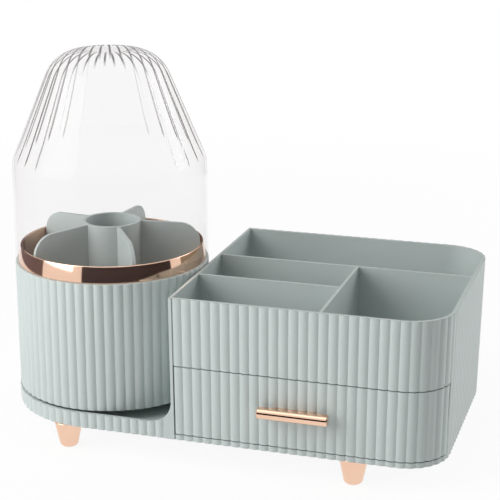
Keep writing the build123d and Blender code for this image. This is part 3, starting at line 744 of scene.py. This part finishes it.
# %% Floor
FLOOR_RADIUS = 8.0
FLOOR_STEPS = 64
PAPER = (0.95, 0.95, 0.95, 1.0)
PAPER_ROUGHNESS = 0.9
PAPER_WHITE = 0.92
SHADOW_REACH = (0.30, 1.10)
floor_turn = full_turn(FLOOR_STEPS)
rim_x, rim_y = FLOOR_RADIUS * np.cos(floor_turn), FLOOR_RADIUS * np.sin(floor_turn)
floor_rim = np.stack([rim_x, rim_y, np.zeros(FLOOR_STEPS)], axis=-1)
floor_mesh = bpy.data.meshes.new("floor")
floor_mesh.from_pydata(floor_rim.tolist(), [], [list(range(FLOOR_STEPS))])
floor = bpy.data.objects.new("floor", floor_mesh)
bpy.context.collection.objects.link(floor)

paper, paper_tree, paper_shader = new_material("studio_paper")
paper_shader.inputs["Base Color"].default_value = PAPER
paper_shader.inputs["Roughness"].default_value = PAPER_ROUGHNESS
glow = add_node(paper_tree, "ShaderNodeEmission", {"Color": (1.0, 1.0, 1.0, 1.0), "Strength": 1.0})
paper_place = add_node(paper_tree, "ShaderNodeTexCoord").outputs["Object"]
far_off = add_node(paper_tree, "ShaderNodeVectorMath", {0: paper_place}, operation="LENGTH")
white = ranged(paper_tree, far_off.outputs["Value"], PAPER_WHITE, 1.0, *SHADOW_REACH)
weight = combined(paper_tree, "MULTIPLY", seen_directly(paper_tree), white)
mixed = add_node(
    paper_tree, "ShaderNodeMixShader", {"Fac": weight, 1: paper_shader.outputs[0], 2: glow.outputs[0]}
)
show(paper_tree, mixed.outputs[0])
floor.data.materials.append(paper)
print("floor radius", FLOOR_RADIUS)

# %% [markdown]
# ## Room light
#
# The room is white to the camera and to mirrors, by the same trick as the paper, and much
# dimmer to everything else. An even dim light from all round fills the shadows without
# making any of its own.

# %% Room light
ROOM_LIGHT = 0.24
world = bpy.data.worlds.new("studio")
world.use_nodes = True
room = world.node_tree
room.nodes.clear()
room_glow = add_node(room, "ShaderNodeBackground", {"Color": (1.0, 1.0, 1.0, 1.0)})
room.links.new(ranged(room, seen_directly(room), ROOM_LIGHT, 1.0), room_glow.inputs["Strength"])
room_output = add_node(room, "ShaderNodeOutputWorld")
room.links.new(room_glow.outputs[0], room_output.inputs["Surface"])
bpy.context.scene.world = world
print("room light", ROOM_LIGHT)

# %% [markdown]
# ## Soft boxes
#
# Three soft boxes shape the object: one at the front left, one at the rear right and a weak
# one above. The drum and the right side get light of their own, and the rounded front
# corner between them falls off, which shows its round. Small hard lamps would draw sharp
# shadows of the dividers, so each box is wide for its distance.

# %% Soft boxes
cad_middle = (cad_box[0] + cad_box[1]) / 2


def soft_box(name, azimuth, elevation, distance, width, height, watts):
    """A rectangular lamp at an angle round the object, in degrees, turned to face its middle.
    It stands at the middle plus the distance along (sin a cos e, -cos a cos e, sin e)."""
    swing, lift = math.radians(azimuth), math.radians(elevation)
    level = math.cos(lift)
    away = Vector((math.sin(swing) * level, -math.cos(swing) * level, math.sin(lift)))
    lamp = bpy.data.lights.new(name, "AREA")
    lamp.shape = "RECTANGLE"
    lamp.size, lamp.size_y = width, height
    lamp.energy = watts
    holder = bpy.data.objects.new(name, lamp)
    holder.location = cad_middle + away * distance
    holder.rotation_mode = "QUATERNION"
    holder.rotation_quaternion = (-away).to_track_quat("-Z", "Y")
    bpy.context.collection.objects.link(holder)
    print(name, watts, "W at", [round(c, 2) for c in holder.location])


soft_box("left_box", azimuth=-48, elevation=26, distance=1.3, width=0.95, height=1.1, watts=15.5)
soft_box("right_box", azimuth=128, elevation=16, distance=1.3, width=0.7, height=1.0, watts=9.0)
soft_box("top_box", azimuth=0, elevation=78, distance=1.5, width=1.2, height=1.2, watts=3.5)

# %% [markdown]
# ## Dark screens
#
# A mirror in an all-white room looks like white paper. In a studio, dark screens stand
# round the table, so that bright metal shows dark bands between its lights. Here they stand
# in an arc with two gaps, a wide one before the left box and a narrow one at the right, and
# the white room shows through each gap as a bright band in the plating. Only reflections
# see the screens, so they take no light from the object.

# %% Dark screens
SCREEN_RADIUS = 0.75
SCREEN_LOW, SCREEN_HIGH = 0.002, 0.40
SCREEN_STEP = 6.0
UNSEEN_BY = ("camera", "diffuse", "transmission", "volume_scatter", "shadow")


def dark_screen(name, start, end, shade):
    """An upright arc from one azimuth to another, in degrees, which only mirrors see.
    x = middle x + R sin(azimuth), y = middle y - R cos(azimuth), at a low and a high z."""
    swing = np.radians(np.linspace(start, end, int((end - start) / SCREEN_STEP) + 2))
    x = cad_middle.x + SCREEN_RADIUS * np.sin(swing)
    y = cad_middle.y - SCREEN_RADIUS * np.cos(swing)
    rows = [np.stack([x, y, np.full_like(x, z)], axis=-1) for z in (SCREEN_LOW, SCREEN_HIGH)]
    count = len(swing)
    first = np.arange(count - 1)
    faces = np.stack([first, first + 1, first + 1 + count, first + count], axis=-1)
    mesh = bpy.data.meshes.new(name)
    mesh.from_pydata(np.concatenate(rows).tolist(), [], faces.tolist())
    screen = bpy.data.objects.new(name, mesh)
    bpy.context.collection.objects.link(screen)
    material, _, shader = new_material(name, "ShaderNodeEmission")
    shader.inputs["Color"].default_value = (*shade, 1.0)
    mesh.materials.append(material)
    for ray in UNSEEN_BY:
        setattr(screen, "visible_" + ray, False)
    print(name, "from", start, "to", end, "degrees")


dark_screen("front_screen", start=-20, end=94, shade=(0.022, 0.016, 0.014))
dark_screen("right_screen", start=112, end=190, shade=(0.24, 0.23, 0.17))
dark_screen("left_screen", start=190, end=292, shade=(0.12, 0.09, 0.085))
